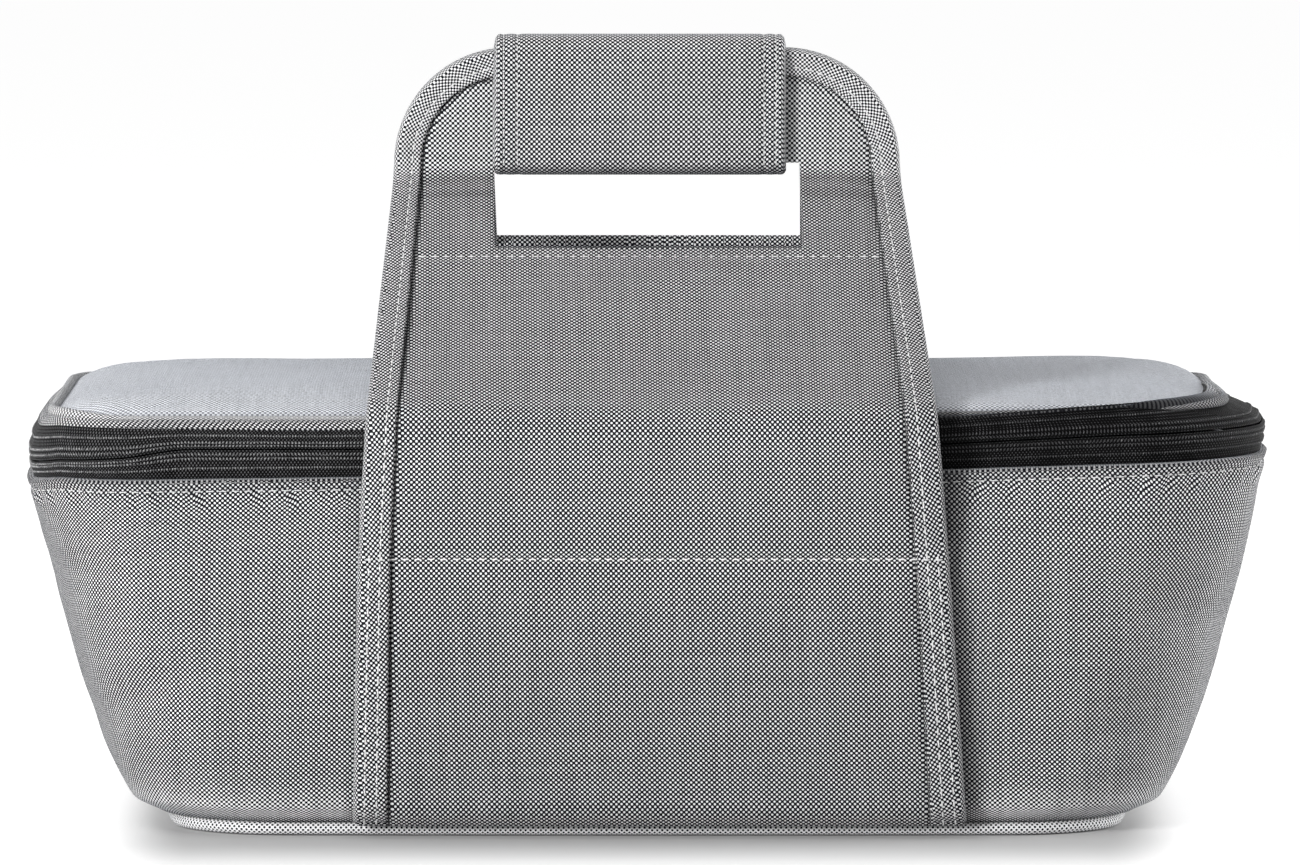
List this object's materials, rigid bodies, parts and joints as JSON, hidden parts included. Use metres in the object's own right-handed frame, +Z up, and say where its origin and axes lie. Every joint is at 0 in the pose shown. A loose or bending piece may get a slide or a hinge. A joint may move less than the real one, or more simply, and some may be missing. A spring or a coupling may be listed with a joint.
{
  "type": "casserole carrier",
  "caption": "Insulated fabric carrier for a covered dish: padded tub, zipped hinged lid, and two sewn handle panels meeting over the lid in a padded grip wrap.",
  "frame": {"origin": "middle of the underside of the base panel, on the surface the carrier stands on", "axes": "+X along the length to the right as seen from the front, +Y to the rear, +Z up"},
  "size_m": [0.439, 0.2712, 0.2751],
  "materials": {
    "grey_weave": "black and white plain weave",
    "padding": "closed-cell foam",
    "lining": "silver insulating lining",
    "zip_tape": "black woven zip tape with nylon coil",
    "board": "stiff plastic board",
    "zip_metal": "black enamelled metal",
    "hook_loop": "black hook and loop tape"
  },
  "bodies": {
    "tub": {"base_panel": "grey_weave", "base_piping": "grey_weave", "base_board": "board", "tub_shell": "grey_weave", "tub_foam": "padding", "tub_lining": "lining", "rim_facing": "grey_weave", "zip_tape_lower": "zip_tape", "zip_coil_lower": "zip_tape", "hinge_strip": "zip_tape", "zip_stop_left": "zip_metal", "zip_stop_right": "zip_metal", "front_anchor_padding": "padding", "front_anchor_panel": "grey_weave", "front_anchor_binding_left": "grey_weave", "front_anchor_binding_right": "grey_weave", "rear_anchor_padding": "padding", "rear_anchor_panel": "grey_weave", "rear_anchor_binding_left": "grey_weave", "rear_anchor_binding_right": "grey_weave"},
    "lid": {"zip_tape_upper": "zip_tape", "zip_coil_upper": "zip_tape", "lid_border": "grey_weave", "lid_piping": "grey_weave", "lid_top_panel": "grey_weave", "lid_foam": "padding", "lid_lining": "lining"},
    "front_handle": {"front_handle_panel": "grey_weave", "front_handle_padding": "padding", "front_handle_lining": "grey_weave", "front_handle_binding": "grey_weave", "grip_pad": "grey_weave", "grip_loop_strip": "hook_loop"},
    "rear_handle": {"rear_handle_panel": "grey_weave", "rear_handle_padding": "padding", "rear_handle_lining": "grey_weave", "rear_handle_binding": "grey_weave"},
    "grip_flap": {"grip_flap": "grey_weave", "grip_hook_strip": "hook_loop"},
    "left_slider": {"zip_slider_left": "zip_metal"},
    "right_slider": {"zip_slider_right": "zip_metal"},
    "left_pull": {"zip_pull_left": "zip_metal"},
    "right_pull": {"zip_pull_right": "zip_metal"}
  },
  "joints": [
    {"name": "lid_hinge", "type": "hinge", "parent": "tub", "child": "lid", "pos_m": [0, 0.1145, 0.1346], "axis": [-1, 0, 0], "range_deg": [0, 100], "deforming": ["front_handle_panel", "front_handle_padding", "front_handle_lining", "front_handle_binding"]},
    {"name": "front_handle_fold", "type": "hinge", "parent": "tub", "child": "front_handle", "pos_m": [0, -0.1329, 0.0987], "axis": [1, 0, 0], "range_deg": [0, 145]},
    {"name": "rear_handle_fold", "type": "hinge", "parent": "tub", "child": "rear_handle", "pos_m": [0, 0.1329, 0.0987], "axis": [-1, 0, 0], "range_deg": [0, 145]},
    {"name": "grip_flap_open", "type": "hinge", "parent": "front_handle", "child": "grip_flap", "pos_m": [0, 0, 0.2751], "axis": [1, 0, 0], "range_deg": [0, 110]},
    {"name": "left_slider_run", "type": "slide", "parent": "tub", "child": "left_slider", "axis": [-1, 0, 0], "range_m": [0, 0.135]},
    {"name": "right_slider_run", "type": "slide", "parent": "tub", "child": "right_slider", "axis": [1, 0, 0], "range_m": [0, 0.135]},
    {"name": "left_pull_flip", "type": "hinge", "parent": "left_slider", "child": "left_pull", "pos_m": [-0.014, -0.1175, 0.1346], "axis": [0, 0, 1], "range_deg": [0, 160]},
    {"name": "right_pull_flip", "type": "hinge", "parent": "right_slider", "child": "right_pull", "pos_m": [0.014, -0.1175, 0.1346], "axis": [0, 0, -1], "range_deg": [0, 160]}
  ],
  "couplings": [
    {"joint": "front_handle_fold", "follows": "lid_hinge", "ratio": 1.45},
    {"joint": "rear_handle_fold", "follows": "lid_hinge", "ratio": 1.45}
  ]
}
